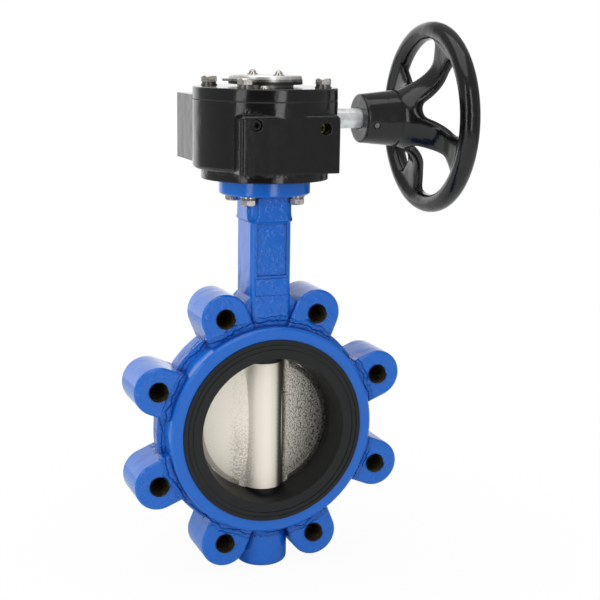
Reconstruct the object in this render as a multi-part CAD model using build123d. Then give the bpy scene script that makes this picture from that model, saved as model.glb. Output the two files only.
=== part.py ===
from build123d import *
import math
import os

# Lug-type butterfly valve, DN100, soft seated, with a worm gear operator and a handwheel.
# The origin is the centre of the pipe bore. +Z runs up the stem, the pipe runs along Y,
# and the handwheel is on the +X side. The valve is modelled closed. Lengths are in mm.

os.makedirs("parts", exist_ok=True)

# ---------------------------------------------------------------- fits
slide_gap = 0.05        # shaft turning in its bushing, radial
seat_gap = 0.05         # part pushed or laid into its seat
thrust_gap = 0.1        # turning face beside a fixed face
disc_gap = 0.3          # disc edge to rubber bore, radial

# ---------------------------------------------------------------- pipe end and lugs
bore_r = 50.0
face_to_face = 52.0     # across the rubber sealing faces
bolt_circle_r = 90.0
lug_count = 8
lug_first_angle = 22.5
lug_hole_r = 7.0        # M16 tapping drill
lug_end_r = 17.3
lug_length = 38.0
lug_edge = 1.2

# ---------------------------------------------------------------- body ring
ring_r = 76.0
ring_recess = 1.0       # ring face behind the rubber face
ring_edge = 1.5
ring_web_r = 81.0       # thin web round the middle of the ring, between the lugs
ring_web_half = 6.5
ring_web_edge = 1.5

# ---------------------------------------------------------------- rubber seat
seat_wall = 8.0
lip_r = 67.1
lip_thickness = 4.0
mouth_flare = 3.5       # bore opens by this much towards each face
mouth_depth = 20.0
face_groove_radii = (60.6, 64.0)
face_groove_width = 0.8
face_groove_depth = 0.5
stem_pad_r = 14.5       # flat pad round each stem hole

# ---------------------------------------------------------------- disc
disc_hub_r = 14.0
disc_hub_half = 47.0    # hub end above and below the pipe axis
disc_rim_half = 1.5
disc_face_r = 46.0
disc_face_half = 3.4    # at the start of the bevelled edge
disc_dome_half = 6.2    # in the middle of the plate, under the hub
disc_blend_r = 5.0      # hollow between the hub and the plate

# ---------------------------------------------------------------- stems and bushings
stem_r = 7.95
stem_drive_bottom = 12.0
stem_drive_top = 40.0
stem_drive_half = 6.0   # half the width across the two drive flats
bushing_wall = 2.5
neck_bushing_bottom = 62.0
neck_bushing_top = 86.0
top_bushing_drop = 19.0  # lower end below the flange's underside
stem_clearance = 1.0    # bare stem to bore, radial
o_ring_r = 1.25
circlip_thickness = 1.2
circlip_depth = 0.6
circlip_width = 2.4
washer_thickness = 1.2
washer_width = 4.0
washer_pocket = 6.0     # depth of the counterbore in the top flange
lower_stem_start = 20.0   # below the pipe axis, as are the next two
bottom_bushing_start = 62.0
bottom_bushing_length = 28.0
lower_stem_proud = 4.0  # stem beyond its bushing
thrust_pad_thickness = 1.5
gasket_thickness = 1.0
plug_r = 12.0
plug_recess = 0.5
plug_socket = 10.0      # across flats
plug_socket_depth = 6.0

# ---------------------------------------------------------------- neck and feet of the body
neck_width = 30.0
neck_depth = 34.0       # along the pipe
neck_corner_r = 4.0
collar_height = 18.0    # the neck grows a little below its flange
collar_growth = 1.6
bolt_relief_r = 7.0     # scallop in the neck beside each flange bolt
panel_width = 22.0
panel_gap = 2.0         # to the collar above and the plate below
panel_depth = 1.0
plate_width = 24.0      # raised bare rectangle under the panel
plate_bottom = 98.0
plate_top = 110.0
plate_height = 0.6
web_top = 91.0
web_root = 6.0          # rise and reach of the gusset beside the neck
web_thickness = 30.0
boss_r = 18.7
boss_reach = 106.0      # below the pipe axis
boss_edge_r = 4.0
flange_r = 32.5
flange_bottom = 169.0
flange_thickness = 11.0
flange_edge = 1.0

# ---------------------------------------------------------------- M6 hexagon screws
hex_flats = 10.0
hex_height = 4.0
hex_crown = 0.3         # how far the top chamfer cuts in past the flats
thread_r = 3.0
clear_hole_r = 3.5
flat_washer_r = 5.8
flat_washer_height = 1.0
spring_washer_r = 5.1
spring_washer_height = 1.6
flange_bolt_count = 4
flange_bolt_angle = 45.0
flange_bolt_circle_r = 25.0
flange_bolt_length = 20.0
cover_bolt_count = 4
cover_bolt_inset = 8.9  # from the cover's edge
cover_bolt_length = 16.0
cover_bolt_angle = 52.0

# ---------------------------------------------------------------- worm and quadrant
tooth_count = 24
module = 2.75
pressure_angle = 20.0
worm_pitch_r = 12.0
worm_half_length = 21.0
tooth_backlash = 0.8
tip_clearance = 0.6
wheel_face = 14.0
first_tooth = -1
last_tooth = 7
quadrant_hub_r = 19.7
closed_flat = 11.0      # stop flats, as distances from the stem axis
open_flat = 13.5
key_width = 5.0
key_length = 26.0
key_depth = 2.6
involute_steps = 6

# ---------------------------------------------------------------- gear housing
cavity_room = 1.75      # quadrant tips to the housing wall
housing_wall = 13.4
base_ring_step = 5.9
base_ring_height = 7.0
housing_height = 54.5   # flange face to cover seam
housing_foot_r = 3.0
floor_thickness = 12.0
hub_seat = 5.0          # height of the quadrant's seat above the flange
stem_hole_r = 10.0
gear_axis_height = 38.0  # worm axis above the flange face
worm_room = 0.5
stop_block_half_width = 36.0
stop_block_shift = 1.0
stop_block_proud = 0.1  # beyond the round wall
stop_block_bottom = 7.0
stop_block_top = 46.5
stop_block_edge_r = 3.0
stop_block_corner_r = 4.0
worm_block_setback = 5.9  # right end face inside the round wall's reach
worm_block_growth = 1.5   # left end longer than the right
worm_block_face = 64.0
worm_block_bottom = 10.5
worm_block_top = 57.0
worm_block_edge_r = 3.0
stop_screw_r = 4.0
stop_screw_spread = 24.8
closing_screw_length = 30.0
closing_screw_drop = 0.9   # below the worm's height
opening_screw_length = 36.0
opening_screw_rise = 2.0   # above the worm's height
stop_screw_gap = 0.2
stop_socket = 4.0
stop_socket_depth = 5.0
stop_screw_edge = 0.6

# ---------------------------------------------------------------- cover and indicator
cover_gasket_height = 0.5
cover_thickness = 8.4
cover_edge_r = 1.2
cover_room = 0.3
seal_groove_width = 2.4
seal_groove_depth = 2.6
indicator_lift = 1.9    # indicator above the cover
indicator_r = 26.0
indicator_base_height = 2.0
pointer_thickness = 1.6
pointer_reach = 31.4
pointer_width = 6.0
pointer_tip_r = 2.6
dial_r = 25.5
dial_height = 2.5
dial_edge = 0.8
dial_screw_circle_r = 15.0
dial_screw_angle = 108.0
dial_screw_r = 2.0
dial_screw_length = 16.0
dial_screw_flange_r = 3.9
dial_screw_flange_height = 0.8
dial_screw_dome_r = 2.8
index_stud_r = 3.0
index_stud_height = 2.0
index_stud_inset = 9.9  # from the cover's edge
index_stud_angle = -110.0

# ---------------------------------------------------------------- input shaft
shaft_r = 7.5
journal_r = 6.0         # reduced end that carries the worm
inner_bushing_length = 18.0
outer_bushing_length = 20.0
shaft_bushing_wall = 3.0
worm_washer_height = 2.0
worm_washer_growth = 1.0  # washer beyond the bushing, radial
shaft_edge = 1.0
worm_pin_r = 1.5
cap_r = 17.5
cap_thickness = 7.0
cap_screw_circle_r = 14.0
cap_screw_count = 3
cap_screw_r = 1.6
cap_screw_head_r = 2.8
cap_screw_head_height = 2.0
cap_screw_length = 12.0
seal_r = 10.5
seal_height = 5.0

# ---------------------------------------------------------------- handwheel
hub_gap = 39.5          # bare shaft between the bearing cap and the hub
hub_start_r = 18.4
hub_length = 28.0       # from its start to its widest place
hub_shoulder_r = 21.2
hub_run_out = 6.0       # from its widest place to its end
hub_end_r = 17.0
rim_reach = 59.6        # from the hub's start to the plane of the rim
rim_r = 66.1
rim_tube_r = 7.2
rim_tube_half = 7.8     # half the rim's length along the shaft
dish_thickness = 7.8
dish_start_r = 16.0
dish_start_back = 7.0   # dish starts this far before the hub's widest place
dish_depth_inner = 15.1  # dish behind the rim plane, at the inner end of the windows
dish_depth_middle = 2.9
dish_depth_outer = 0.6
spoke_count = 4
spoke_first_angle = 26.0
window_inner_r = 23.5
window_inner_half = 6.2
window_inner_corner_r = 4.5
window_middle_r = 36.8
window_middle_half = 23.5
window_middle_corner_r = 13.6
window_rim_half = 33.6
window_rim_sink = 2.0   # window runs this far into the rim, which closes over it
window_rim_corner_r = 6.0
window_edge_r = 3.0
wheel_pin_r = 2.0
wheel_pin_inset = 7.5   # from the hub's start
wheel_pin_angle = 14.0

# ---------------------------------------------------------------- derived places
seat_half = face_to_face / 2
ring_half = seat_half - ring_recess
liner_r = bore_r + seat_wall
lip_back = seat_half - lip_thickness
disc_r = bore_r - disc_gap
pad_level = disc_hub_half + disc_gap
bushing_r = stem_r + slide_gap + bushing_wall
boss_bottom = -boss_reach
bottom_bushing_top = -bottom_bushing_start
bottom_bushing_bottom = bottom_bushing_top - bottom_bushing_length
lower_stem_top = -lower_stem_start
lower_stem_bottom = bottom_bushing_bottom - lower_stem_proud
top_bushing_bottom = flange_bottom - top_bushing_drop
collar_bottom = flange_bottom - collar_height
panel_top = collar_bottom - panel_gap
panel_bottom = plate_top + panel_gap
flange_top = flange_bottom + flange_thickness
pocket_floor = flange_top - washer_pocket
seam = flange_top + housing_height
cover_bottom = seam + cover_gasket_height
cover_top = cover_bottom + cover_thickness
gear_z = flange_top + gear_axis_height
wheel_pitch_r = module * tooth_count / 2
worm_axis_y = wheel_pitch_r + worm_pitch_r
worm_tip_r = worm_pitch_r + module
wheel_tip_r = wheel_pitch_r + module
worm_root_r = worm_pitch_r - module - tip_clearance
cavity_r = wheel_tip_r + cavity_room
housing_r = cavity_r + housing_wall
base_ring_r = housing_r - base_ring_step
cover_bolt_circle_r = housing_r - cover_bolt_inset
index_stud_circle_r = housing_r - index_stud_inset
stop_block_face = housing_r + stop_block_proud
worm_block_right = housing_r - worm_block_setback
worm_block_left = -worm_block_right - worm_block_growth
wheel_root_r = wheel_pitch_r - module - tip_clearance
thread_pitch = math.pi * module
worm_room_r = worm_tip_r + worm_room
boss_top = cover_top + indicator_lift
pointer_bottom = boss_top + indicator_base_height
dial_bottom = pointer_bottom + pointer_thickness
dial_top = dial_bottom + dial_height
stem_top = gear_z + key_length / 2 + key_depth
circlip_bottom = pocket_floor + washer_thickness + thrust_gap
circlip_top = circlip_bottom + circlip_thickness
seal_floor = top_bushing_bottom - 4 * o_ring_r
pad_bottom = lower_stem_bottom - thrust_gap - thrust_pad_thickness
plug_top = pad_bottom - gasket_thickness
hub_bottom = flange_top + hub_seat
cover_bolt_end = cover_top + flat_washer_height + spring_washer_height - cover_bolt_length
flange_bolt_end = flange_bottom - flat_washer_height - spring_washer_height + flange_bolt_length
worm_room_end = worm_half_length + thrust_gap + worm_washer_height
inner_bushing_r = journal_r + slide_gap + shaft_bushing_wall
outer_bushing_r = shaft_r + slide_gap + shaft_bushing_wall
inner_bushing_end = -worm_room_end - inner_bushing_length
cap_end = worm_block_right + cap_thickness
hub_start = cap_end + hub_gap
hub_shoulder = hub_start + hub_length
hub_end = hub_shoulder + hub_run_out
shaft_end = hub_shoulder
rim_plane = hub_start + rim_reach
wheel_pin_x = hub_start + wheel_pin_inset


# ---------------------------------------------------------------- shapes used by many pieces
def rod(radius, low, high, at=(0, 0), along="Z"):
    """Round bar between two places along an axis; at is its place on the other two."""
    bar = Cylinder(radius, high - low)
    middle = (low + high) / 2
    if along == "X":
        return Pos(middle, *at) * Rot(0, 90, 0) * bar
    if along == "Y":
        return Pos(at[0], middle, at[1]) * Rot(90, 0, 0) * bar
    return Pos(*at, middle) * bar


def tube(outer, inner, low, high, at=(0, 0), along="Z"):
    return rod(outer, low, high, at, along) - rod(inner, low, high, at, along)


def block(x_range, y_range, z_range):
    """Box from its lower to its upper corner."""
    spans = [(low, high - low) for low, high in (x_range, y_range, z_range)]
    corner = [low for low, length in spans]
    box = Box(*[length for low, length in spans], align=(Align.MIN, Align.MIN, Align.MIN))
    return Pos(*corner) * box


def spun(section, axis):
    """Solid of revolution of a flat section drawn as radius against place along the axis."""
    plane = {"X": Plane((0, 0, 0), x_dir=(0, 1, 0), z_dir=(0, 0, -1)),
             "Y": Plane.XY,
             "Z": Plane.XZ}[axis]
    spin = {"X": Axis.X, "Y": Axis.Y, "Z": Axis.Z}[axis]
    return revolve(plane * section, spin)


def turned(outline, axis):
    """Solid of revolution from the corners of its section."""
    return spun(make_face(Polyline(*outline, close=True)), axis)


def polar(radius, angle):
    return radius * math.cos(math.radians(angle)), radius * math.sin(math.radians(angle))


def around(count, first_angle, radius):
    """Places of a pattern of copies round the stem axis."""
    return [polar(radius, first_angle + 360 / count * k) for k in range(count)]


flange_bolt_places = around(flange_bolt_count, flange_bolt_angle, flange_bolt_circle_r)
cover_bolt_places = around(cover_bolt_count, cover_bolt_angle, cover_bolt_circle_r)


def hex_prism(flats, height):
    return extrude(RegularPolygon(flats / 2, 6, major_radius=False), height)


def hex_screw(length):
    """M6 hexagon screw standing on the plane z = 0, with its shank below."""
    crown = Cone(hex_flats / 2 + hex_height, hex_flats / 2 - hex_crown, hex_height,
                 align=(Align.CENTER, Align.CENTER, Align.MIN))
    head = hex_prism(hex_flats, hex_height) & crown
    return head + rod(thread_r, -length, 0)


def washer(outer, height):
    return tube(outer, thread_r + seat_gap, 0, height)


def save(name, *solids):
    """Write one node: a single piece, or a set of like pieces as separate solids."""
    shape = solids[0] if len(solids) == 1 else Compound(children=list(solids))
    export_step(shape, os.path.join("parts", name + ".step"))


# ---------------------------------------------------------------- valve body
def make_lug():
    """One lug at the +X side: parallel flanks, round end, lightly broken edges."""
    outline = Pos(bolt_circle_r, 0) * Circle(lug_end_r)
    outline += Pos((liner_r + bolt_circle_r) / 2, 0) * Rectangle(bolt_circle_r - liner_r, 2 * lug_end_r)
    lug = Rot(90, 0, 0) * extrude(outline, lug_length / 2, both=True)
    rims = lug.faces().filter_by(Axis.Y).edges()
    return chamfer(rims, lug_edge)


def make_neck():
    """Neck with its collar, front and rear panels, bare plates and the web to the top lugs."""
    half = neck_width / 2
    outline = RectangleRounded(neck_width, neck_depth, neck_corner_r)
    neck = Pos(0, 0, liner_r) * extrude(outline, flange_bottom - liner_r + flange_edge)
    grown = RectangleRounded(neck_width + 2 * collar_growth, neck_depth + 2 * collar_growth,
                             neck_corner_r + collar_growth)
    neck += loft([Pos(0, 0, collar_bottom - collar_growth) * outline, Pos(0, 0, collar_bottom) * grown])
    neck += Pos(0, 0, collar_bottom) * extrude(grown, flange_bottom - collar_bottom)
    for x, y in flange_bolt_places:
        relief_bottom = collar_bottom + bolt_relief_r - collar_growth
        neck -= rod(bolt_relief_r, relief_bottom, flange_bottom, (x, y))
        neck -= Pos(x, y, relief_bottom) * Sphere(bolt_relief_r)
    for side in (-1, 1):
        face = side * neck_depth / 2
        sunk = sorted((face, face - side * panel_depth))
        neck -= block((-panel_width / 2, panel_width / 2), sunk, (panel_bottom, panel_top))
        raised = sorted((face, face + side * plate_height))
        neck += block((-plate_width / 2, plate_width / 2), raised, (plate_bottom, plate_top))
    reach = bolt_circle_r * math.sin(math.radians(lug_first_angle))
    root = half + web_root
    outline = Polyline((reach, liner_r), (reach, web_top), (root, web_top), (half, web_top + web_root),
                       (-half, web_top + web_root), (-root, web_top), (-reach, web_top),
                       (-reach, liner_r), close=True)
    return neck + extrude(Plane.XZ * make_face(outline), web_thickness / 2, both=True)


def make_valve_body():
    body = turned([(bore_r, -ring_half), (ring_r - ring_edge, -ring_half),
                   (ring_r, ring_edge - ring_half), (ring_r, -ring_web_half - ring_web_edge),
                   (ring_web_r - ring_web_edge, -ring_web_half), (ring_web_r, ring_web_edge - ring_web_half),
                   (ring_web_r, ring_web_half - ring_web_edge), (ring_web_r - ring_web_edge, ring_web_half),
                   (ring_r, ring_web_half + ring_web_edge), (ring_r, ring_half - ring_edge),
                   (ring_r - ring_edge, ring_half), (bore_r, ring_half)], "Y")
    for k in range(lug_count):
        body += Rot(0, lug_first_angle + 360 / lug_count * k, 0) * make_lug()

    body += make_neck()
    flange = rod(flange_r, flange_bottom, flange_top)
    flange = chamfer(flange.edges(), flange_edge)
    boss = rod(boss_r, boss_bottom, -liner_r)
    boss = fillet(boss.edges().group_by(Axis.Z)[0], boss_edge_r)
    body += [flange, boss]

    body -= rod(liner_r + seat_gap, -seat_half, seat_half, along="Y")
    for side in (-1, 1):
        recess = sorted((side * (lip_back - seat_gap), side * seat_half))
        body -= rod(lip_r + seat_gap, *recess, along="Y")
    for k in range(lug_count):
        x, z = polar(bolt_circle_r, lug_first_angle + 360 / lug_count * k)
        body -= rod(lug_hole_r, -lug_length, lug_length, (x, z), "Y")

    bushing_bore = bushing_r + seat_gap
    body -= rod(bushing_bore, 0, neck_bushing_top)
    body -= rod(stem_r + stem_clearance, 0, flange_top)
    body -= rod(bushing_bore, seal_floor, flange_top)
    body -= rod(stem_r + slide_gap + washer_width + seat_gap, pocket_floor, flange_top)
    body -= rod(bushing_bore, pad_bottom, 0)
    body -= rod(plug_r + seat_gap, boss_bottom, pad_bottom)
    for x, y in flange_bolt_places:
        body -= rod(clear_hole_r, flange_bottom, flange_top, (x, y))
    return body


def make_seat_liner():
    outline = [(bore_r, mouth_depth - seat_half), (bore_r + mouth_flare, -seat_half),
               (lip_r, -seat_half), (lip_r, -lip_back), (liner_r, -lip_back),
               (liner_r, lip_back), (lip_r, lip_back), (lip_r, seat_half),
               (bore_r + mouth_flare, seat_half), (bore_r, seat_half - mouth_depth)]
    liner = turned(outline, "Y")
    for side in (-1, 1):
        pad = rod(stem_pad_r, *sorted((side * pad_level, side * liner_r)))
        liner += pad & rod(liner_r, -lip_back, lip_back, along="Y")
        for radius in face_groove_radii:
            groove = sorted((side * (seat_half - face_groove_depth), side * seat_half))
            liner -= tube(radius + face_groove_width / 2, radius - face_groove_width / 2,
                          *groove, along="Y")
    return liner - rod(stem_r + slide_gap, -lip_r, lip_r)


# ---------------------------------------------------------------- disc and stems
def stem_drive(growth):
    """The double-D end of the upper stem, grown all round for the socket that takes it."""
    reach = stem_drive_half + growth
    flats = block((-stem_r * 2, stem_r * 2), (-reach, reach), (stem_drive_bottom, stem_drive_top))
    return rod(stem_r + growth, stem_drive_bottom, stem_drive_top) & flats


def make_disc():
    """Plate domed on both sides, with a bevelled edge and a round hub up its middle."""
    dome = ThreePointArc((-disc_face_r, -disc_face_half), (0, -disc_dome_half),
                         (disc_face_r, -disc_face_half))
    edge = Polyline((disc_face_r, -disc_face_half), (disc_r, -disc_rim_half),
                    (disc_r, disc_rim_half), (disc_face_r, disc_face_half))
    lens = make_face(dome + edge + mirror(dome, Plane.XZ) + mirror(edge, Plane.YZ))
    disc = spun(lens & (Pos(disc_r / 2, 0) * Rectangle(disc_r, 2 * disc_dome_half)), "Y")
    section = Circle(disc_hub_r) + Rectangle(2 * (disc_hub_r + disc_blend_r), 2 * disc_face_half)
    creases = section.vertices().filter_by_position(Axis.X, -disc_hub_r, disc_hub_r)
    disc += extrude(fillet(creases, disc_blend_r), disc_r, both=True)
    room = Sphere(disc_r)
    room -= rod(stem_pad_r + disc_gap, disc_hub_half, bore_r)
    room -= rod(stem_pad_r + disc_gap, -bore_r, -disc_hub_half)
    disc &= room
    disc -= stem_drive(seat_gap)
    disc -= rod(stem_r + seat_gap, stem_drive_top, disc_hub_half)
    return disc - rod(stem_r + seat_gap, -disc_hub_half, lower_stem_top)


def make_upper_stem():
    stem = stem_drive(0) + rod(stem_r, stem_drive_top, stem_top)
    groove_floor = stem_r - circlip_depth
    stem -= tube(stem_r + circlip_depth, groove_floor, circlip_bottom, circlip_top)
    return stem - stem_key(0)


def stem_key(growth):
    """Parallel key on the +X side of the stem, grown all round for its keyways."""
    low = stem_r - key_depth
    wide = key_width / 2 + growth
    tall = key_length / 2 + growth
    return block((low - growth, low + key_width + growth), (-wide, wide),
                 (gear_z - tall, gear_z + tall))


def make_stem_parts():
    inner = stem_r + slide_gap
    save("upper_stem", make_upper_stem())
    save("lower_stem", rod(stem_r, lower_stem_bottom, lower_stem_top))
    save("stem_key", stem_key(0))
    save("neck_bushing", tube(bushing_r, inner, neck_bushing_bottom, neck_bushing_top))
    save("top_bushing", tube(bushing_r, inner, top_bushing_bottom, pocket_floor))
    save("bottom_bushing", tube(bushing_r, inner, bottom_bushing_bottom, bottom_bushing_top))
    ring = Torus(inner + o_ring_r, o_ring_r)
    save("stem_o_rings", *[Pos(0, 0, top_bushing_bottom - o_ring_r * turn) * ring for turn in (1, 3)])
    save("stem_thrust_washer", tube(inner + washer_width, inner, pocket_floor,
                                    pocket_floor + washer_thickness))
    clip_inner = stem_r - circlip_depth
    save("stem_circlip", tube(clip_inner + circlip_width, clip_inner, circlip_bottom, circlip_top))
    save("bottom_thrust_pad", rod(bushing_r, pad_bottom, pad_bottom + thrust_pad_thickness))
    save("bottom_gasket", tube(plug_r, stem_r, plug_top, pad_bottom))
    plug_bottom = boss_bottom + plug_recess
    plug = rod(plug_r, plug_bottom, plug_top)
    save("bottom_plug", plug - Pos(0, 0, plug_bottom) * hex_prism(plug_socket, plug_socket_depth))


# ---------------------------------------------------------------- gear housing and cover
def make_gear_housing():
    foot = flange_top + base_ring_height
    shell = rod(housing_r, foot, seam)
    shell = fillet(shell.edges().group_by(Axis.Z)[0], housing_foot_r)
    stop_block = block((stop_block_shift - stop_block_half_width, stop_block_shift + stop_block_half_width),
                       (-stop_block_face, 0),
                       (flange_top + stop_block_bottom, flange_top + stop_block_top))
    front_edges = stop_block.faces().sort_by(Axis.Y)[0].edges().filter_by(Axis.Z)
    stop_block = fillet(front_edges, stop_block_edge_r)
    top_edges = stop_block.faces().sort_by(Axis.Z)[-1].edges().filter_by(Axis.Y)
    stop_block = fillet(top_edges.sort_by(Axis.X)[-1], stop_block_corner_r)
    worm_block = block((worm_block_left, worm_block_right), (0, worm_block_face),
                       (flange_top + worm_block_bottom, flange_top + worm_block_top))
    worm_block = fillet(worm_block.faces().sort_by(Axis.Y)[-1].edges(), worm_block_edge_r)
    housing = shell + rod(base_ring_r, flange_top, foot) + stop_block + worm_block

    housing -= rod(housing_r + cover_room, seam, cover_top)
    housing -= rod(cavity_r, flange_top + floor_thickness, seam)
    housing -= rod(quadrant_hub_r + slide_gap, hub_bottom - thrust_gap, seam)
    housing -= rod(stem_hole_r, flange_top, seam)
    axis_at = (worm_axis_y, gear_z)
    housing -= rod(worm_room_r, -worm_room_end, worm_room_end, axis_at, "X")
    housing -= rod(inner_bushing_r + seat_gap, inner_bushing_end, 0, axis_at, "X")
    housing -= rod(outer_bushing_r + seat_gap, 0, worm_block_right, axis_at, "X")
    for place, flat, length in stop_screw_plan():
        housing -= rod(stop_screw_r + seat_gap, -stop_block_face, 0, place, "Y")
    for x, y in flange_bolt_places:
        housing -= rod(thread_r + seat_gap, flange_top, flange_bolt_end, (x, y))
    for x, y in cover_bolt_places:
        housing -= rod(thread_r + seat_gap, cover_bolt_end, seam, (x, y))
    for y, z in cap_screw_places():
        housing -= rod(cap_screw_r + seat_gap, cap_end - cap_screw_length, worm_block_right, (y, z), "X")
    return housing


def cap_screw_places():
    return [(worm_axis_y + y, gear_z + z) for y, z in around(cap_screw_count, 90, cap_screw_circle_r)]


def make_gear_cover():
    cover = rod(housing_r, cover_bottom, cover_top)
    cover = fillet(cover.edges().group_by(Axis.Z)[-1], cover_edge_r)
    cover -= rod(quadrant_hub_r + slide_gap, cover_bottom, cover_top)
    seal_low = (cover_bottom + cover_top - seal_groove_depth) / 2
    cover -= tube(quadrant_hub_r + slide_gap + seal_groove_width, quadrant_hub_r,
                  seal_low, seal_low + seal_groove_depth)
    for x, y in cover_bolt_places:
        cover -= rod(clear_hole_r, cover_bottom, cover_top, (x, y))
    return cover


def make_cover_parts():
    save("gear_cover", make_gear_cover())
    gasket = tube(housing_r - cover_room, cavity_r, seam, cover_bottom)
    for x, y in cover_bolt_places:
        gasket -= rod(clear_hole_r, seam, cover_bottom, (x, y))
    save("cover_gasket", gasket)
    section_r = (seal_groove_width - seat_gap) / 2
    seal = Torus(quadrant_hub_r + slide_gap + section_r, section_r)
    save("cover_seal", Pos(0, 0, (cover_bottom + cover_top) / 2) * seal)
    stud = rod(index_stud_r, 0, index_stud_height)
    stud = fillet(stud.edges().group_by(Axis.Z)[-1], index_stud_height - seat_gap)
    save("cover_index_stud", Pos(*polar(index_stud_circle_r, index_stud_angle), cover_top) * stud)


def make_fasteners():
    under = [Pos(x, y, flange_bottom) * Rot(180, 0, 0) for x, y in flange_bolt_places]
    upon = [Pos(x, y, cover_top) for x, y in cover_bolt_places]
    flat = washer(flat_washer_r, flat_washer_height)
    spring = Pos(0, 0, flat_washer_height) * washer(spring_washer_r, spring_washer_height)
    head_seat = flat_washer_height + spring_washer_height
    for group, places, length in (("flange", under, flange_bolt_length), ("cover", upon, cover_bolt_length)):
        bolt = Pos(0, 0, head_seat) * hex_screw(length)
        save(group + "_washers", *[place * flat for place in places])
        save(group + "_spring_washers", *[place * spring for place in places])
        save(group + "_bolts", *[place * bolt for place in places])


def stop_screw_plan():
    """Place, stop flat and length: the +X screw stops the closed valve and the -X screw the open one."""
    closing = (stop_block_shift + stop_screw_spread, gear_z - closing_screw_drop)
    opening = (stop_block_shift - stop_screw_spread, gear_z + opening_screw_rise)
    return ((closing, closed_flat, closing_screw_length), (opening, open_flat, opening_screw_length))


def make_stop_screws():
    screws = []
    for (x, z), flat, length in stop_screw_plan():
        tip = -flat - stop_screw_gap
        screw = rod(stop_screw_r, tip - length, tip, (x, z), "Y")
        screw = chamfer(screw.edges(), stop_screw_edge)
        socket = Rot(-90, 0, 0) * hex_prism(stop_socket, stop_socket_depth)
        screws.append(screw - Pos(x, tip - length, z) * socket)
    save("stop_screws", *screws)


# ---------------------------------------------------------------- worm and quadrant
def make_tooth(turn):
    """One involute tooth on the +X side, leaning with the worm's lead; turn sets its place."""
    flank = math.radians(pressure_angle)
    base_r = wheel_pitch_r * math.cos(flank)
    half_pitch = (thread_pitch - tooth_backlash) / 4 / wheel_pitch_r
    points = []
    for k in range(involute_steps + 1):
        radius = base_r + (wheel_tip_r - base_r) * k / involute_steps
        local = math.acos(base_r / radius)
        spread = (math.tan(flank) - flank) - (math.tan(local) - local)
        points.append((radius, half_pitch + spread))
    points.insert(0, (wheel_root_r - tip_clearance, points[0][1]))
    outline = [(r * math.cos(a), r * math.sin(a)) for r, a in points]
    outline += [(x, -y) for x, y in reversed(outline)]
    section = make_face(Polyline(*outline, close=True))
    lean = math.degrees(thread_pitch / (2 * math.pi * worm_pitch_r) * wheel_face / 2 / wheel_pitch_r)
    ends = [Pos(0, 0, gear_z + side * wheel_face / 2) * Rot(0, 0, turn + side * lean) * section
            for side in (-1, 1)]
    return loft(ends, ruled=True)


def make_quadrant_gear():
    low = gear_z - wheel_face / 2
    high = gear_z + wheel_face / 2
    sector = rod(wheel_root_r, low, high)
    sector &= block((-open_flat, wheel_tip_r), (-closed_flat, wheel_tip_r), (low, high))
    gear = sector + rod(quadrant_hub_r, hub_bottom, boss_top)
    for k in range(first_tooth, last_tooth + 1):
        gear += make_tooth(360 / tooth_count * k)
    gear -= rod(stem_r + seat_gap, hub_bottom, stem_top + seat_gap)
    gear -= stem_key(seat_gap)
    for x, y in around(2, dial_screw_angle, dial_screw_circle_r):
        gear -= rod(dial_screw_r + seat_gap, dial_top - dial_screw_length, boss_top, (x, y))
    return gear


def make_worm():
    """Single-start right-hand worm, with a tooth space facing the quadrant at the middle."""
    slope = math.tan(math.radians(pressure_angle))
    half = (thread_pitch - tooth_backlash) / 4
    foot_r = worm_root_r - tip_clearance
    foot = half + (worm_pitch_r - foot_r) * slope
    tip = half - (worm_tip_r - worm_pitch_r) * slope
    profile = Polyline((foot_r, -foot), (worm_tip_r, -tip), (worm_tip_r, tip), (foot_r, foot), close=True)
    turns = math.ceil(2 * worm_half_length / thread_pitch) + 2
    length = turns * thread_pitch
    helix = Helix(pitch=thread_pitch, height=length, radius=worm_pitch_r)
    thread = sweep(Plane.XZ * make_face(profile), path=helix, is_frenet=True)
    thread = Pos(0, 0, (turns % 2 - turns) * thread_pitch / 2) * thread
    threaded = thread + rod(worm_root_r, -length, length)
    threaded &= rod(worm_tip_r + tip_clearance, -worm_half_length, worm_half_length)
    threaded -= rod(journal_r + seat_gap, -worm_half_length, worm_half_length)
    worm = Pos(0, worm_axis_y, gear_z) * Rot(0, 90, 0) * Rot(0, 0, 90) * threaded
    return worm - worm_pin(seat_gap)


def worm_pin(growth):
    """Spring pin through the worm and the shaft, standing upright."""
    reach = worm_root_r + growth
    return rod(worm_pin_r + growth, gear_z - reach, gear_z + reach, (0, worm_axis_y))


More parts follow.
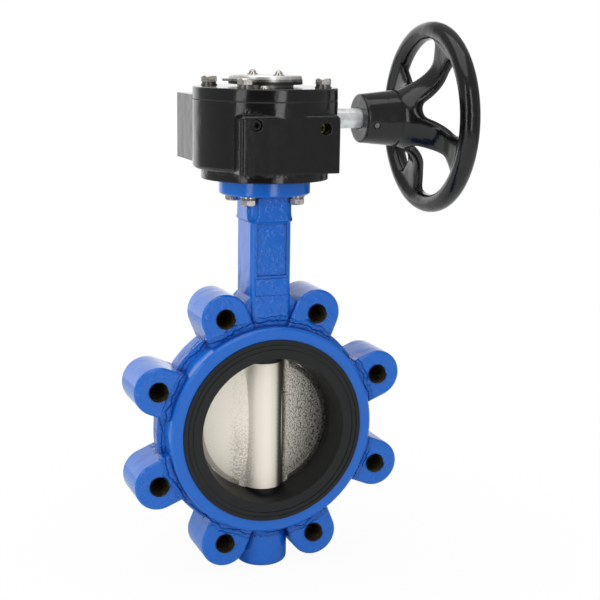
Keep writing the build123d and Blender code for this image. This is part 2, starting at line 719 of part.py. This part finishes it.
# ---------------------------------------------------------------- input shaft
def make_input_parts():
    axis_at = (worm_axis_y, gear_z)
    save("worm", make_worm())
    save("worm_pin", worm_pin(0))
    shaft = rod(shaft_r, worm_half_length, shaft_end, axis_at, "X")
    shaft = chamfer(shaft.edges().group_by(Axis.X)[-1], shaft_edge)
    shaft += rod(journal_r, inner_bushing_end + thrust_gap, worm_half_length, axis_at, "X")
    save("input_shaft", shaft - worm_pin(seat_gap) - wheel_pin(seat_gap))

    ends = ((-worm_room_end, journal_r), (worm_half_length + thrust_gap, shaft_r))
    outer = outer_bushing_r + worm_washer_growth
    save("worm_thrust_washers", *[
        tube(outer, inner + slide_gap, start, start + worm_washer_height, axis_at, "X")
        for start, inner in ends])
    save("inner_shaft_bushing", tube(inner_bushing_r, journal_r + slide_gap,
                                     inner_bushing_end, -worm_room_end, axis_at, "X"))
    save("outer_shaft_bushing", tube(outer_bushing_r, shaft_r + slide_gap,
                                     worm_room_end, worm_room_end + outer_bushing_length, axis_at, "X"))
    cap = rod(cap_r, worm_block_right, cap_end, axis_at, "X")
    cap -= rod(shaft_r + stem_clearance, worm_block_right, cap_end, axis_at, "X")
    cap -= rod(seal_r + seat_gap, cap_end - seal_height, cap_end, axis_at, "X")
    for place in cap_screw_places():
        cap -= rod(cap_screw_r + seat_gap, worm_block_right, cap_end, place, "X")
    save("bearing_cap", cap)
    save("shaft_seal", tube(seal_r, shaft_r + slide_gap, cap_end - seal_height, cap_end, axis_at, "X"))
    screws = []
    for place in cap_screw_places():
        head = rod(cap_screw_head_r, cap_end, cap_end + cap_screw_head_height, place, "X")
        screws.append(head + rod(cap_screw_r, cap_end - cap_screw_length, cap_end, place, "X"))
    save("bearing_cap_screws", *screws)


# ---------------------------------------------------------------- indicator
def make_indicator():
    screw_places = around(2, dial_screw_angle, dial_screw_circle_r)
    base = rod(indicator_r, boss_top, pointer_bottom)
    tab = block((-pointer_reach, 0), (-pointer_width / 2, pointer_width / 2), (pointer_bottom, dial_bottom))
    tab = fillet(tab.edges().filter_by(Axis.Z).group_by(Axis.X)[0], pointer_tip_r)
    pointer = rod(indicator_r, pointer_bottom, dial_bottom) + tab
    dial = rod(dial_r, dial_bottom, dial_top)
    dial = chamfer(dial.edges().group_by(Axis.Z)[-1], dial_edge)
    holes = [rod(dial_screw_r + seat_gap, boss_top, dial_top, place) for place in screw_places]
    save("indicator_base", base - holes)
    save("indicator_pointer", pointer - holes)
    save("indicator_dial", dial - holes)
    flange_up = dial_top + dial_screw_flange_height
    dome = Pos(0, 0, flange_up) * Sphere(dial_screw_dome_r)
    dome &= rod(dial_screw_flange_r, flange_up, flange_up + dial_screw_dome_r)
    screw = rod(dial_screw_flange_r, dial_top, flange_up) + dome
    screw += rod(dial_screw_r, dial_top - dial_screw_length, dial_top)
    save("indicator_screws", *[Pos(x, y, 0) * screw for x, y in screw_places])


# ---------------------------------------------------------------- handwheel
def wheel_pin(growth, reach=hub_start_r):
    """Cross pin through hub and shaft, its ends a little inside its hole through the hub."""
    pin = rod(wheel_pin_r + growth, -reach - growth, reach + growth, along="Y")
    return Pos(wheel_pin_x, worm_axis_y, gear_z) * Rot(wheel_pin_angle, 0, 0) * pin


def make_window():
    """Outline of one window of the wheel, seen along the shaft, on the +X side of the hub."""
    window_rim_r = rim_r - rim_tube_r
    outline = Polyline((window_inner_r, window_inner_half), (window_middle_r, window_middle_half),
                       (window_rim_r, window_rim_half), (window_rim_r, -window_rim_half),
                       (window_middle_r, -window_middle_half), (window_inner_r, -window_inner_half),
                       close=True)
    window = make_face(outline) & Circle(window_rim_r + window_rim_sink)
    window = fillet(window.vertices().group_by(Axis.X)[2], window_rim_corner_r)
    window = fillet(window.vertices().group_by(Axis.X)[1], window_middle_corner_r)
    return fillet(window.vertices().group_by(Axis.X)[0], window_inner_corner_r)


def make_handwheel():
    """Hub and dished plate turned in one, four windows with rounded edges, and the round rim."""
    hub = make_face(Polyline((0, hub_start), (hub_start_r, hub_start), (hub_shoulder_r, hub_shoulder),
                             (hub_end_r, hub_end), (0, hub_end), close=True))
    middle = Spline((dish_start_r, hub_shoulder - dish_start_back),
                    (window_inner_r, rim_plane - dish_depth_inner),
                    (window_middle_r, rim_plane - dish_depth_middle),
                    (rim_r - rim_tube_r, rim_plane - dish_depth_outer), (rim_r, rim_plane))
    blank = spun(hub + trace(middle, dish_thickness), "X")
    across = Plane((0, 0, 0), x_dir=(0, 1, 0), z_dir=(1, 0, 0))
    wheel = blank
    for k in range(spoke_count):
        turn = Rot(0, 0, 360 / spoke_count * (k + 0.5))
        wheel -= extrude(across * (turn * make_window()), hub_end + rim_plane)
    sharp = (wheel.edges() - blank.edges()).filter_by(Axis.X, reverse=True)
    wheel = fillet(sharp, window_edge_r)
    wheel += spun(Pos(rim_r, rim_plane) * Ellipse(rim_tube_r, rim_tube_half), "X")
    wheel = Pos(0, worm_axis_y, gear_z) * Rot(spoke_first_angle, 0, 0) * wheel
    wheel -= rod(shaft_r + seat_gap, 0, rim_plane, (worm_axis_y, gear_z), "X")
    return wheel - wheel_pin(seat_gap, hub_shoulder_r)


save("valve_body", make_valve_body())
save("seat_liner", make_seat_liner())
save("disc", make_disc())
make_stem_parts()
save("gear_housing", make_gear_housing())
make_cover_parts()
make_fasteners()
make_stop_screws()
save("quadrant_gear", make_quadrant_gear())
make_input_parts()
make_indicator()
save("handwheel", make_handwheel())
save("handwheel_pin", wheel_pin(-seat_gap))
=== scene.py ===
"""Looks of a lug-type butterfly valve with worm gear and handwheel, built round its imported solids."""
import math

import bmesh
import bpy
from mathutils import Matrix, Vector


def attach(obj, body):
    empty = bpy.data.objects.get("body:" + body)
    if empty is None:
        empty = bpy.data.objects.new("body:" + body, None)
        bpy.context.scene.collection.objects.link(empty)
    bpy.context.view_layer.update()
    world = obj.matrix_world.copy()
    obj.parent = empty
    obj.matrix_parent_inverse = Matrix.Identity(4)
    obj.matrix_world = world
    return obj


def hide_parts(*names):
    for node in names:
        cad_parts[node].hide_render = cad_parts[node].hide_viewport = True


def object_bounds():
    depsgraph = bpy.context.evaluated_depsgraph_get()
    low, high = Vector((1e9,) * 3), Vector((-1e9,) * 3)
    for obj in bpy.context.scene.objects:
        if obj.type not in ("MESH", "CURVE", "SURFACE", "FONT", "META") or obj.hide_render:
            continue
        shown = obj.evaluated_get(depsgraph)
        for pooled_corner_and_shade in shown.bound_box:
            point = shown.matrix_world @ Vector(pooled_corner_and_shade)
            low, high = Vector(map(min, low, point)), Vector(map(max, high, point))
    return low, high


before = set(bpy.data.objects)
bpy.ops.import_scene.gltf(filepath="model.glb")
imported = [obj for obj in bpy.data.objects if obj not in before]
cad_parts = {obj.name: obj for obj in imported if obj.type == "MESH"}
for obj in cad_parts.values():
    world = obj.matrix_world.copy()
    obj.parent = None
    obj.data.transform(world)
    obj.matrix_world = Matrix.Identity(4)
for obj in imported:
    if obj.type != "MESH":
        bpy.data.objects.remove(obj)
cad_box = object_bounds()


# ---------------------------------------------------------------- room
# A white table in a grey room, with a white wall behind it. The side that looks at the valve's
# front is dark, as it is where the viewer stands.


class Wire:
    """A socket of a node tree. Sums on it add Math nodes, and node() adds any other node."""

    def __init__(self, tree, socket=None):
        self.tree = tree
        self.socket = socket

    def node(self, kind, settings=None, sockets=None, out=0):
        made = self.tree.nodes.new(kind)
        for name, value in (settings or {}).items():
            setattr(made, name, value)
        for name, value in (sockets or {}).items():
            if isinstance(value, Wire):
                self.tree.links.new(value.socket, made.inputs[name])
            else:
                made.inputs[name].default_value = value
        return Wire(self.tree, made.outputs[out]) if made.outputs else None

    def sum(self, operation, *values):
        return self.node("ShaderNodeMath", {"operation": operation}, dict(enumerate(values)))

    def __add__(self, other):
        return self.sum("ADD", self, other)

    __radd__ = __add__

    def __sub__(self, other):
        return self.sum("SUBTRACT", self, other)

    def __rsub__(self, other):
        return self.sum("SUBTRACT", other, self)

    def __mul__(self, other):
        return self.sum("MULTIPLY", self, other)

    __rmul__ = __mul__

    def between(self, low, high):
        """0 below low, 1 above high, and a smooth rise from one to the other."""
        settings = {"interpolation_type": "SMOOTHSTEP"}
        return self.node("ShaderNodeMapRange", settings, {0: self, 1: low, 2: high})

    def mixed(self, start, end):
        """start where this wire is 0 and end where it is 1, for colours."""
        return self.node("ShaderNodeMix", {"data_type": "RGBA"}, {0: self, 6: start, 7: end}, out=2)

    def along(self, direction):
        """How far this vector points in direction."""
        sockets = {0: self, 1: direction}
        return self.node("ShaderNodeVectorMath", {"operation": "DOT_PRODUCT"}, sockets, "Value")

    def length(self):
        return self.node("ShaderNodeVectorMath", {"operation": "LENGTH"}, {0: self}, "Value")


front = Vector((-0.438, -0.899, 0.0))
front_edge = (0.80, 0.90)
wall_edge = (0.78, 0.93)
front_level = 0.08
side_level = 0.38
wall_level = 1.35
daylight = 0.62
room = bpy.data.worlds.new("room")
room.use_nodes = True
room.node_tree.nodes.clear()
air = Wire(room.node_tree)
way = air.node("ShaderNodeTexCoord", out="Generated")
facing = way.along(front)
behind = way.along((0, 1, 0))
reflected = side_level - facing.between(*front_edge) * (side_level - front_level)
reflected = reflected + behind.between(*wall_edge) * (wall_level - side_level)
seen = air.node("ShaderNodeLightPath", out="Is Camera Ray")
glossy = air.node("ShaderNodeLightPath", out="Is Glossy Ray")
through = air.node("ShaderNodeLightPath", out="Is Transmission Ray")
gloss = air.sum("MAXIMUM", glossy, through)
light = gloss * reflected + (1 - gloss) * daylight
light = seen + (1 - seen) * light
backdrop = air.node("ShaderNodeBackground", None, {"Color": (1, 1, 1, 1), "Strength": light})
air.node("ShaderNodeOutputWorld", None, {"Surface": backdrop})
bpy.context.scene.world = room

table_half = 1.1
table_white = (0.82, 0.82, 0.82, 1)
near_glow = 0.95
glow_start = 0.12
glow_end = 0.45
table = bmesh.new()
bmesh.ops.create_grid(table, x_segments=1, y_segments=1, size=table_half)
bmesh.ops.translate(table, verts=table.verts, vec=(0, 0, cad_box[0].z))
top = bpy.data.meshes.new("table_top")
table.to_mesh(top)
table.free()
floor = bpy.data.objects.new("table_top", top)
bpy.context.scene.collection.objects.link(floor)
white = bpy.data.materials.new("white_table")
white.use_nodes = True
white.node_tree.nodes.clear()
paint = Wire(white.node_tree)
matt = paint.node("ShaderNodeBsdfDiffuse", None, {"Color": table_white})
shine = paint.node("ShaderNodeEmission", None, {"Color": (1, 1, 1, 1), "Strength": 1.0})
place = paint.node("ShaderNodeTexCoord", out="Object")
far = place.length().between(glow_start, glow_end)
seen = paint.node("ShaderNodeLightPath", out="Is Camera Ray")
glow = seen * (near_glow + far * (1 - near_glow))
both = paint.node("ShaderNodeMixShader", None, {0: glow, 1: matt, 2: shine})
paint.node("ShaderNodeOutputMaterial", None, {"Surface": both})
top.materials.append(white)

# ---------------------------------------------------------------- lamps
# Four soft lamps: a large cool one on the left, two upright strips that draw the bands on every
# round wall, and a broad one overhead. The large one lights the valve but isn't mirrored in it.


def softbox(name, place, aim, wide, high, radiance, tint=(1, 1, 1), mirrored=True):
    lamp = bpy.data.lights.new(name, "AREA")
    lamp.color = tint
    lamp.shape = "RECTANGLE"
    lamp.size = wide
    lamp.size_y = high
    lamp.energy = radiance * math.pi * wide * high
    held = bpy.data.objects.new(name, lamp)
    held.location = place
    held.rotation_euler = (Vector(aim) - Vector(place)).to_track_quat("-Z", "Y").to_euler()
    held.visible_camera = False
    held.visible_glossy = mirrored
    bpy.context.scene.collection.objects.link(held)


cool = (0.7, 1.0, 0.8)
softbox("left_softbox", (-1.35, 0.25, 0.45), (0, 0, 0.1), 1.1, 1.2, 1.8, cool, mirrored=False)
softbox("left_strip", (-1.34, -0.88, 0.6), (0, 0, 0.6), 0.34, 1.5, 2.8)
softbox("right_strip", (0.13, -1.6, 0.6), (0, 0, 0.6), 0.36, 1.5, 3.2)
softbox("overhead", (-0.2, -0.2, 1.6), (0, 0, 0), 1.5, 1.5, 1.3)

# ---------------------------------------------------------------- camera
# It stands to the left of the valve's front and above its bore, looks a little down, and leans by
# less than a degree.

pan = math.radians(21.254)
tilt = math.radians(11.436)
lean = math.radians(0.876)
camera_place = (-0.30571, -0.85897, 0.2761)
ahead = Vector((math.sin(pan) * math.cos(tilt), math.cos(pan) * math.cos(tilt), -math.sin(tilt)))
level = Vector((math.cos(pan), -math.sin(pan), 0))
upright = level.cross(ahead)
across = level * math.cos(lean) + upright * math.sin(lean)
upward = upright * math.cos(lean) - level * math.sin(lean)
eye = bpy.data.cameras.new("camera")
eye.lens = 77.311
eye.sensor_width = 36
eye.clip_start = 0.05
eye.clip_end = 20
camera = bpy.data.objects.new("camera", eye)
stand = Matrix((across, upward, -ahead)).transposed().to_4x4()
stand.translation = camera_place
camera.matrix_world = stand
bpy.context.scene.collection.objects.link(camera)
bpy.context.scene.camera = camera
bpy.context.scene.view_settings.view_transform = "Standard"


# ---------------------------------------------------------------- valve body
# Sand cast iron ring with eight tapped lugs, neck and top flange, dipped in thick glossy blue
# enamel that runs together in the corners and wrinkles there.


def new_finish(name):
    made = bpy.data.materials.new(name)
    made.use_nodes = True
    made.node_tree.nodes.clear()
    return made, Wire(made.node_tree)


def close_finish(wire, relief, depth, edge=0.0, **sockets):
    """Ends a finish in one shader. relief is the height of its bump, in parts of depth, and edge
    the radius that its corners seem rounded by."""
    sockets = {name.replace("_", " "): value for name, value in sockets.items()}
    bump = {"Height": relief, "Distance": depth, "Strength": 1.0}
    if edge:
        bump["Normal"] = wire.node("ShaderNodeBevel", {"samples": 4}, {"Radius": edge})
    sockets["Normal"] = wire.node("ShaderNodeBump", None, bump)
    shader = wire.node("ShaderNodeBsdfPrincipled", None, sockets)
    wire.node("ShaderNodeOutputMaterial", None, {"Surface": shader})


def dress(finish, *nodes):
    """Gives CAD nodes their finish."""
    for name in nodes:
        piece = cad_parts[name]
        if not piece.material_slots:
            piece.data.materials.append(finish)
        for held in piece.material_slots:
            held.material = finish


def noise(wire, scale, detail=2.0, rough=0.5, distort=0.0):
    where = wire.node("ShaderNodeTexCoord", out="Object")
    sockets = {"Vector": where, "Scale": scale, "Detail": detail, "Roughness": rough, "Distortion": distort}
    return wire.node("ShaderNodeTexNoise", None, sockets)


corner_reach = 0.006
enamel_depth = 0.0011
enamel_round = 0.0011


def enamel(name, thin, shaded_deep, rough, wrinkle, runs=None):
    """Thick enamel over a casting: thin on the open faces, darker in the corners that ambient occlusion
    finds, partly as deeper pooled enamel and partly as painted shade. runs adds to its relief."""
    made, wire = new_finish(name)
    settings = {"samples": 12, "only_local": True}
    open_air = wire.node("ShaderNodeAmbientOcclusion", settings, {"Distance": corner_reach}, "AO")
    shut = 1 - open_air
    swell = noise(wire, 75, 1.0)
    peel = noise(wire, 420, 1.0)
    folds = noise(wire, 560, 2.0, 0.5, 1.2)
    ripple = noise(wire, 260, 2.0)
    pooled_corner_and_shade = (shut + (ripple - 0.5) * 0.35).between(0.15, 0.45)
    relief = swell * 0.4 + peel * 0.05 + pooled_corner_and_shade * (0.25 + folds * wrinkle)
    if runs:
        pooled = runs(wire)
        relief = relief + pooled * (0.85 + folds * 0.8)
        pooled_corner_and_shade = wire.sum("MAXIMUM", pooled_corner_and_shade, pooled * 0.22)
        rough = rough - wire.sum("MINIMUM", pooled, 1.0) * 0.08
    # This mask comes from ambient occlusion, so the darker colour it puts into corners is partly painted
    # shade.
    colour = pooled_corner_and_shade.mixed(thin, shaded_deep)
    dull = rough + (peel - 0.5) * 0.08 + pooled_corner_and_shade * 0.05
    close_finish(wire, relief, enamel_depth, enamel_round, Base_Color=colour, Roughness=dull)
    return made


ring_foot = 0.0762
foot_edge = 0.0004
bead_wander = 0.009
bead_width = 0.0016
bead_swell = 0.0014
inner_slope = 0.0012
sand_top = 0.166
sand_fade = 0.002


def bead_round_ring(wire):
    """The wavy bead of enamel that has run together round the foot of the turned ring face, and
    the sand-rough skin of the flat casting outside it, up to the top flange."""
    place = wire.node("ShaderNodeTexCoord", out="Object")
    flat = wire.node("ShaderNodeVectorMath", {"operation": "MULTIPLY"}, {0: place, 1: (1, 0, 1)})
    reach = flat.length()
    wave = noise(wire, 95, 2.0, 0.6)
    width = noise(wire, 150, 1.0)
    sand = noise(wire, 340, 2.0).between(0.42, 0.78) * noise(wire, 55, 1.0).between(0.35, 0.6)
    flat_face = wire.node("ShaderNodeTexCoord", out="Normal").along((0, 1, 0))
    sand = sand * wire.sum("ABSOLUTE", flat_face).between(0.85, 0.97)
    height = wire.node("ShaderNodeSeparateXYZ", None, {0: place}, out=2)
    sand = sand * (1 - height.between(sand_top, sand_top + sand_fade))
    off = wire.sum("ABSOLUTE", reach - (ring_foot + wave * bead_wander))
    bead = 1 - (off - width * bead_swell).between(0.0, bead_width)
    inner = 1 - (reach - wave * bead_wander).between(ring_foot - inner_slope, ring_foot)
    outside = reach.between(ring_foot - foot_edge, ring_foot + foot_edge)
    return (bead + inner * 0.25 + sand * 0.3) * outside


# The darker of the two blues goes into the corners, partly as pooled enamel and partly as painted shade.
thin_blue = (0.002, 0.118, 0.54, 1)
shaded_deep_blue = (0.001, 0.05, 0.34, 1)
blue = enamel("blue_enamel", thin_blue, shaded_deep_blue, 0.16, 0.5, bead_round_ring)
dress(blue, "valve_body")

# ---------------------------------------------------------------- lug threads
# Each lug is drilled and tapped right through for a pipe flange bolt. The taps leave bare iron,
# brown with cutting oil, inside the painted holes.

lug_circle = 0.09
lugs = 8
tap_root = 0.00697
tap_crest = 0.0064
tap_pitch = 0.002
tap_turns = 21
tap_steps = 30
oil_brown = (0.030, 0.021, 0.011, 1)
iron_brown = (0.075, 0.066, 0.03, 1)


def coil(mesh, root, crest, pitch, turns, steps):
    """One thread ridge wound along +Y, half of it on each side of the origin."""
    start = Vector((0, -pitch * turns / 2, 0))
    profile = [(root, 0), (crest, pitch * 0.5), (root, pitch)]
    corners = [mesh.verts.new(start + Vector((out, along, 0))) for out, along in profile]
    ring = [mesh.edges.new((corners[i - 1], corners[i])) for i in range(3)]
    bmesh.ops.spin(
        mesh, geom=corners + ring, cent=start, axis=(0, 1, 0), angle=math.tau * turns,
        dvec=(0, pitch / steps, 0), steps=turns * steps, use_merge=False,
        use_normal_flip=False, use_duplicate=False,
    )


def new_piece(name, mesh, finish, body):
    shape = bpy.data.meshes.new(name)
    bmesh.ops.recalc_face_normals(mesh, faces=mesh.faces)
    mesh.to_mesh(shape)
    mesh.free()
    shape.materials.append(finish)
    piece = bpy.data.objects.new(name, shape)
    bpy.context.scene.collection.objects.link(piece)
    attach(piece, body)
    return piece


oiled, wire = new_finish("oiled_iron")
stain = noise(wire, 400, 2.0)
colour = stain.between(0.35, 0.65).mixed(oil_brown, iron_brown)
close_finish(wire, noise(wire, 2400, 1.0), 0.00006, Base_Color=colour, Metallic=0.55, Roughness=0.34)

taps = bmesh.new()
coil(taps, tap_root, tap_crest, tap_pitch, tap_turns, tap_steps)
first = taps.verts[:] + taps.edges[:] + taps.faces[:]
coils = [first] + [bmesh.ops.duplicate(taps, geom=first)["geom"] for _ in range(lugs - 1)]
for number, parts in enumerate(coils):
    angle = math.tau * (number + 0.5) / lugs
    moved = [part for part in parts if isinstance(part, bmesh.types.BMVert)]
    away = (lug_circle * math.sin(angle), 0, lug_circle * math.cos(angle))
    bmesh.ops.translate(taps, verts=moved, vec=away)
new_piece("lug_threads", taps, oiled, "valve")

# ---------------------------------------------------------------- seat
# Moulded EPDM rubber sleeve that lines the ring and folds over both faces, where its rounded
# lips seal against the pipe flanges. The O-rings and the seals of shaft and cover are rubber too.

clean_rubber = (0.002, 0.0026, 0.0034, 1)
dusty_rubber = (0.0045, 0.0052, 0.006, 1)
rubber, wire = new_finish("black_rubber")
dust = noise(wire, 90, 3.0)
mould = noise(wire, 1500, 2.0)
colour = dust.between(0.3, 0.75).mixed(clean_rubber, dusty_rubber)
relief = mould * 0.4 + dust * 0.6
close_finish(wire, relief, 0.0003, Base_Color=colour, Roughness=0.36 + dust * 0.2, IOR=1.42)
dress(rubber, "seat_liner", "stem_o_rings", "shaft_seal", "cover_seal")

# ---------------------------------------------------------------- disc
# Ductile iron disc, left rough from the sand and nickel plated. It turns with the stem that runs
# through its upright hub. The half to the right of the hub is sandier than the left one, and
# its colour is painted darker there, as shade.

bright_skin = (0.94, 0.88, 0.77, 1)
shaded_sandy_skin = (0.70, 0.66, 0.59, 1)
dark_mark_and_shade_iron = (0.045, 0.036, 0.026, 1)
sand_and_shade_start = 0.010
sand_and_shade_full = 0.018
fall_start = 0.017
fall_rate = 18000
casting_depth = 0.00035
nickel, wire = new_finish("nickel_on_casting")
grain = noise(wire, 880, 2.0, 0.65)
fine = noise(wire, 1500, 1.0)
cloud = noise(wire, 45, 3.0)
spot = wire.node("ShaderNodeTexCoord", out="Object")
right = wire.node("ShaderNodeSeparateXYZ", None, {0: spot})
height = wire.node("ShaderNodeSeparateXYZ", None, {0: spot}, out=2)
sandy_and_shaded = right.between(sand_and_shade_start, sand_and_shade_full)
fall = wire.sum("MAXIMUM", right - fall_start, 0.0)

# A mottled brown band on the left half, fainter toward the top. right is the distance from the
# stem's axis toward the handwheel.
left_band = right.between(-0.032, -0.022) * (1 - right.between(-0.015, -0.006))
left_band = left_band * (1 - height.between(-0.045, 0.035) * 0.7)
brown = (grain + left_band * 0.2 + (cloud - 0.5) * 0.2).between(0.56, 0.74) * left_band

# Painted shade on the hub's right flank and in the crease at its foot. The dark pitting of the sandier half
# is partly real grain and partly painted shade, as it grows stronger toward the right edge.
out = wire.node("ShaderNodeTexCoord", out="Normal")
lee = (out.along((1, 0, 0)) + (grain - 0.5) * 0.3).between(0.34, 0.60)
lee = lee * right.between(0.004, 0.010) * (1 - right.between(0.02, 0.03))
ragged = right + (grain - 0.5) * 0.005
crease = right.between(0.0125, 0.0135) * (1 - ragged.between(0.0140, 0.0180))
lee = wire.sum("MAXIMUM", lee, crease)
pits_and_shade = (0.47 - grain).between(0.0, 0.07) * sandy_and_shaded * (0.5 + right.between(0.015, 0.045) * 0.45)
dark_marks_and_shade = wire.sum("MAXIMUM", wire.sum("MAXIMUM", brown * 0.45, pits_and_shade), lee * 0.96)

# The right half gets a darker skin colour, which is painted shade.
skin = sandy_and_shaded.mixed(bright_skin, shaded_sandy_skin)
colour = dark_marks_and_shade.mixed(skin, dark_mark_and_shade_iron)
relief = grain * (0.5 + sandy_and_shaded * 1.7) + fine * 0.15 - fall * fall * fall_rate
rough = 0.5 - sandy_and_shaded * 0.21 + (cloud - 0.5) * 0.1 + dark_marks_and_shade * 0.15
metal = 0.42 + sandy_and_shaded * 0.5
close_finish(wire, relief, casting_depth, Base_Color=colour, Metallic=metal, Roughness=rough)
dress(nickel, "disc")

# ---------------------------------------------------------------- stems and bushings
# The stems are turned stainless bar. They run in plain bronze bushings pressed into the neck and
# the bottom boss.


def turned_metal(name, colour, rough, scale=1500.0, metal=1.0):
    """Metal off a lathe or a press: fine uneven lines and a little staining."""
    made, wire = new_finish(name)
    lines = noise(wire, scale, 2.0)
    stain = noise(wire, 180, 2.0)
    worn = [c * 0.78 for c in colour]
    tone = stain.between(0.35, 0.7).mixed((*worn, 1), (*colour, 1))
    dull = rough + (stain - 0.5) * 0.15
    close_finish(wire, lines, 0.00003, Base_Color=tone, Metallic=metal, Roughness=dull)
    return made


stainless = turned_metal("turned_stainless", (0.66, 0.65, 0.63), 0.28)
bronze = turned_metal("bronze", (0.60, 0.42, 0.22), 0.34)
dress(stainless, "upper_stem", "lower_stem", "stem_thrust_washer")
dress(bronze, "neck_bushing", "top_bushing", "bottom_bushing", "bottom_thrust_pad")

# ---------------------------------------------------------------- bottom plug
# The bottom boss is closed by a hexagon socket plug, screwed in against a fibre gasket. The key
# and the retaining ring of the stem are of the same oiled steel.

dark_steel = turned_metal("oiled_steel", (0.24, 0.235, 0.225), 0.36)
dark_fibre = (0.02, 0.02, 0.019, 1)
pale_fibre = (0.05, 0.048, 0.044, 1)
fibre, wire = new_finish("gasket_fibre")
fluff = noise(wire, 900, 3.0)
colour = fluff.mixed(dark_fibre, pale_fibre)
close_finish(wire, fluff, 0.0002, Base_Color=colour, Roughness=0.8)
dress(dark_steel, "bottom_plug", "stem_circlip", "stem_key")
dress(fibre, "bottom_gasket", "cover_gasket")

# ---------------------------------------------------------------- flange bolts
# Four hexagon bolts with flat and spring washers hold the gearbox on the top flange from below.
# They are zinc plated, with the faint warm tinge of a thin passivated coat.

zinc = turned_metal("zinc_plate", (0.68, 0.635, 0.59), 0.26)
dress(zinc, "flange_bolts", "flange_washers")
dress(dark_steel, "flange_spring_washers")

# ---------------------------------------------------------------- gearbox
# Cast iron housing, cover and bearing cap, bolted together and then sprayed with thick black
# enamel.

# The darker of the two blacks goes into the corners, partly as pooled enamel and partly as painted shade.
thin_black = (0.0042, 0.0042, 0.004, 1)
shaded_deep_black = (0.002, 0.002, 0.002, 1)
black = enamel("black_enamel", thin_black, shaded_deep_black, 0.15, 0.35)
dress(black, "gear_housing", "gear_cover", "bearing_cap")

# ---------------------------------------------------------------- stop screws
# Two hexagon socket set screws limit the travel. The left one was sprayed over with the housing,
# and the right one, set deeper, shows yellow passivated steel.

dull_yellow = (0.10, 0.09, 0.012, 1)
pale_yellow = (0.34, 0.33, 0.08, 1)
sprayed = (0.004, 0.004, 0.004, 1)
passivated, wire = new_finish("stop_screw_finish")
right = wire.node("ShaderNodeSeparateXYZ", None, {0: wire.node("ShaderNodeTexCoord", out="Object")})
right = right.between(0.0, 0.01)
tint = noise(wire, 700, 2.0).mixed(dull_yellow, pale_yellow)
colour = right.mixed(sprayed, tint)
file_marks = noise(wire, 1500, 2.0)
dull = 0.18 + right * 0.1
close_finish(wire, file_marks, 0.00004, 0.0004, Base_Color=colour, Metallic=right, Roughness=dull)
dress(passivated, "stop_screws")

# ---------------------------------------------------------------- cover screws
# Four nickel plated hexagon screws with flat and spring washers close the cover, and a small
# bright stud stands on it as the mark for the pointer.

nickelled = turned_metal("nickel_plate", (0.70, 0.655, 0.605), 0.26)
dress(nickelled, "cover_bolts", "cover_index_stud", "bearing_cap_screws")
dress(dark_steel, "cover_washers", "cover_spring_washers")

# ---------------------------------------------------------------- gear train
# An oiled ductile iron quadrant is keyed to the stem and meshes with the steel worm, which is
# pinned to the input shaft and turns between bronze thrust washers.

iron = turned_metal("machined_iron", (0.3, 0.295, 0.285), 0.4)
dress(iron, "quadrant_gear")
dress(dark_steel, "worm", "worm_pin")
dress(bronze, "inner_shaft_bushing", "outer_shaft_bushing", "worm_thrust_washers")

# ---------------------------------------------------------------- input shaft
# Bright zinc plated round bar. It runs through the worm block in two bronze bushings, and carries
# the handwheel on its outer end.

bright = turned_metal("bright_zinc", (0.93, 0.94, 0.95), 0.24, metal=0.4)
dress(bright, "input_shaft")

# ---------------------------------------------------------------- position indicator
# A black moulded base carries a stamped pointer plate and a satin white dial, held by two domed
# screws, and turns with the stem.

moulded_black = (0.012, 0.012, 0.012, 1)
plastic, wire = new_finish("black_plastic")
skin = noise(wire, 1100, 2.0)
close_finish(wire, skin, 0.00012, Base_Color=moulded_black, Roughness=0.3 + skin * 0.12)
satin = turned_metal("satin_dial", (0.92, 0.91, 0.89), 0.35, 2200.0, metal=0.8)
stamped = turned_metal("stamped_pointer", (0.42, 0.41, 0.40), 0.3)
dress(plastic, "indicator_base")
dress(satin, "indicator_dial")
dress(stamped, "indicator_pointer")
dress(nickelled, "indicator_screws")

# ---------------------------------------------------------------- handwheel
# One grey iron casting: a hub on the shaft, four dished spokes and a round rim, with thick black
# enamel that rounds every corner between them. A steel cross pin holds it on the shaft.

weld = 1e-6
cell = 0.0009
hub_corner = 0.119
arm_rounds = 14
barrel_rounds = 2
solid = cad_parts["handwheel"]
shape = bmesh.new()
shape.from_mesh(solid.data)
bmesh.ops.transform(shape, matrix=solid.matrix_world, verts=shape.verts)
bmesh.ops.remove_doubles(shape, verts=shape.verts, dist=weld)
rough_cast = bpy.data.meshes.new("rough_wheel")
shape.to_mesh(rough_cast)
shape.free()
lump = bpy.data.objects.new("rough_wheel", rough_cast)
bpy.context.scene.collection.objects.link(lump)
net = lump.modifiers.new("net", "REMESH")
net.mode = "VOXEL"
net.voxel_size = cell
graph = bpy.context.evaluated_depsgraph_get()
even = bpy.data.meshes.new_from_object(lump.evaluated_get(graph))
bpy.data.objects.remove(lump)


def soften(mesh, verts, rounds):
    """Rounds the corners between verts, a little more with each round."""
    for _ in range(rounds):
        bmesh.ops.smooth_vert(
            mesh, verts=verts, factor=0.5, use_axis_x=True, use_axis_y=True, use_axis_z=True,
        )


cast = bmesh.new()
cast.from_mesh(even)
arms = [vert for vert in cast.verts if vert.co.x > hub_corner]
barrel = [vert for vert in cast.verts if vert.co.x <= hub_corner]
soften(cast, arms, arm_rounds)
soften(cast, barrel, barrel_rounds)
for face in cast.faces:
    face.smooth = True
wheel = new_piece("wheel_casting", cast, black, "wheel_train")
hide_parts("handwheel")
dress(dark_steel, "handwheel_pin")
